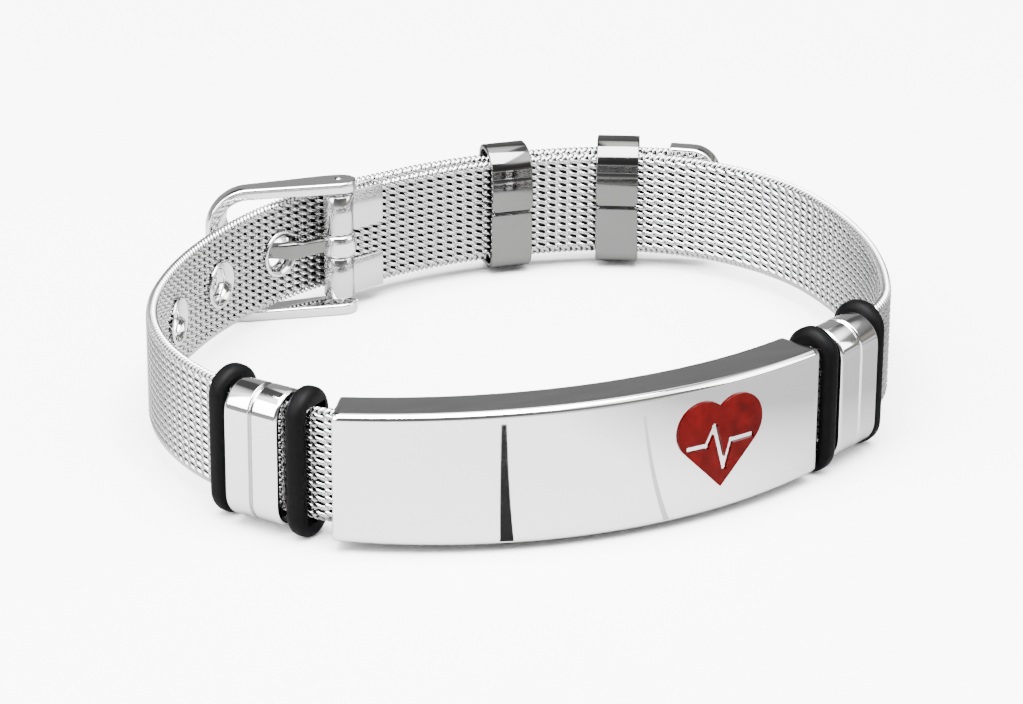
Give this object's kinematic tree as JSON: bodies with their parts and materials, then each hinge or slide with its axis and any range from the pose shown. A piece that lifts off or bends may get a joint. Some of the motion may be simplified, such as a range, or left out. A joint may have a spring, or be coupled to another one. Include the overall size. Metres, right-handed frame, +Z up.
{
  "type": "medical alert bracelet",
  "caption": "Medical alert bracelet with a woven steel mesh strap, a curved polished name plate with an enamel heart, barrels with rubber rings, keepers and a pin buckle.",
  "frame": {"origin": "middle of the bottom of the bracelet's box, on the surface that it lies on", "axes": "+Z up across the strap's width, +X to the right seen from the name plate's side, +Y from the plate towards the buckle"},
  "size_m": [0.0672, 0.0634, 0.0129],
  "materials": {
    "steel_mesh": "bright wire mesh",
    "polished_steel": "polished",
    "satin_steel": "satin",
    "black_rubber": "matte",
    "red_enamel": "gloss"
  },
  "bodies": {
    "root": {"mesh_strap": "steel_mesh", "name_plate": "polished_steel", "heart_emblem": "red_enamel", "barrel_left": "polished_steel", "barrel_right": "polished_steel", "rubber_ring_1": "black_rubber", "rubber_ring_2": "black_rubber", "rubber_ring_3": "black_rubber", "rubber_ring_4": "black_rubber", "keeper_left": "polished_steel", "keeper_right": "polished_steel", "buckle_frame": "polished_steel", "buckle_tongue": "polished_steel", "buckle_pin": "polished_steel", "lug_upper": "satin_steel", "lug_lower": "satin_steel", "eyelet_1": "polished_steel", "eyelet_2": "polished_steel", "eyelet_3": "polished_steel", "eyelet_4": "polished_steel", "eyelet_5": "polished_steel", "strap_tip": "polished_steel"}
  },
  "joints": []
}
